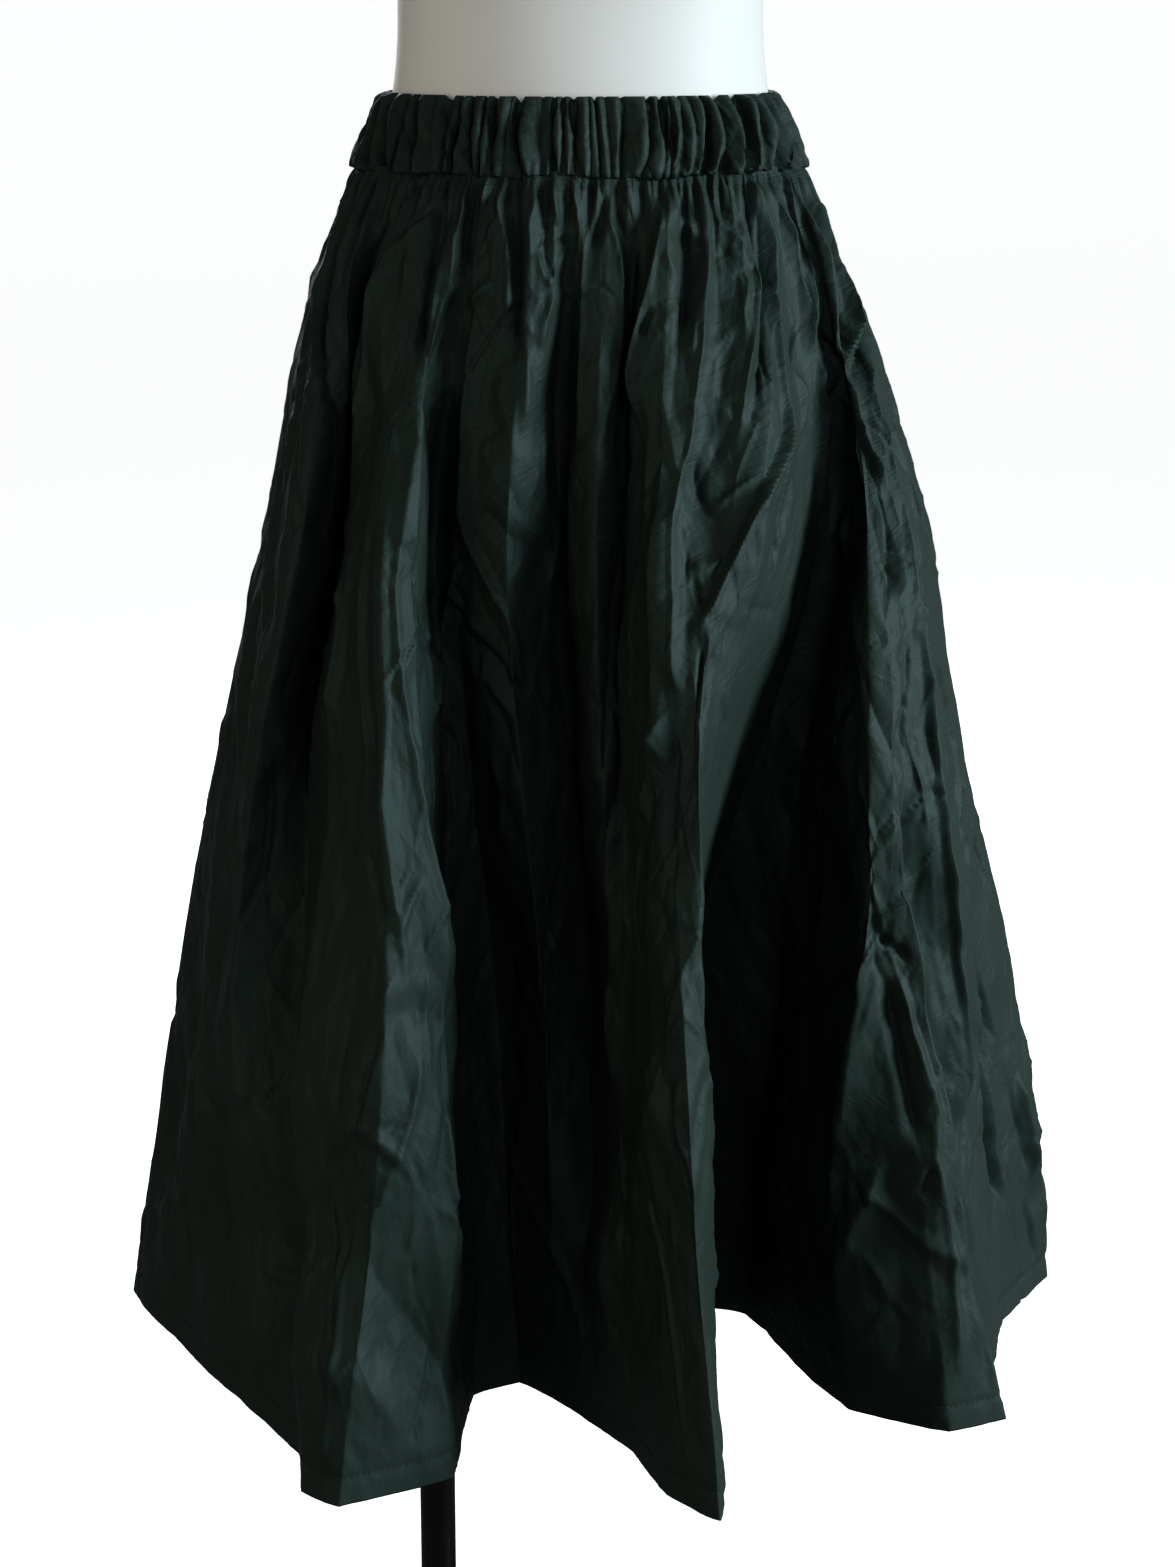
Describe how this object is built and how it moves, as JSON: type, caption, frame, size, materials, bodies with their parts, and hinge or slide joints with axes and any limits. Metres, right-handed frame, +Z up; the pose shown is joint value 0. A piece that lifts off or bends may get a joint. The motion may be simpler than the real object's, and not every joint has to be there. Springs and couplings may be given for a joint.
{
  "type": "a-line skirt on a dress form",
  "caption": "Full A-line midi skirt with a ruched elastic waistband and deep loose folds, worn on a limbless dress form with a pole and round base.",
  "frame": {"origin": "centre of the base plate's underside, on the floor under the dress form's axis", "axes": "+Z up along the dress form, -Y towards the viewer (the skirt's front), +X to the viewer's right"},
  "size_m": [0.6466, 0.668, 1.65],
  "materials": {
    "skirt_cloth": "bottle-green crisp taffeta with a soft lustre, creased",
    "form_shell": "white moulded shell, satin",
    "stand_steel": "black powder coat, satin"
  },
  "bodies": {
    "root": {"waistband": "skirt_cloth", "skirt_front": "skirt_cloth", "skirt_back": "skirt_cloth", "dress_form": "form_shell", "form_collar": "stand_steel", "pole": "stand_steel", "base_collar": "stand_steel", "base_plate": "stand_steel"}
  },
  "joints": []
}
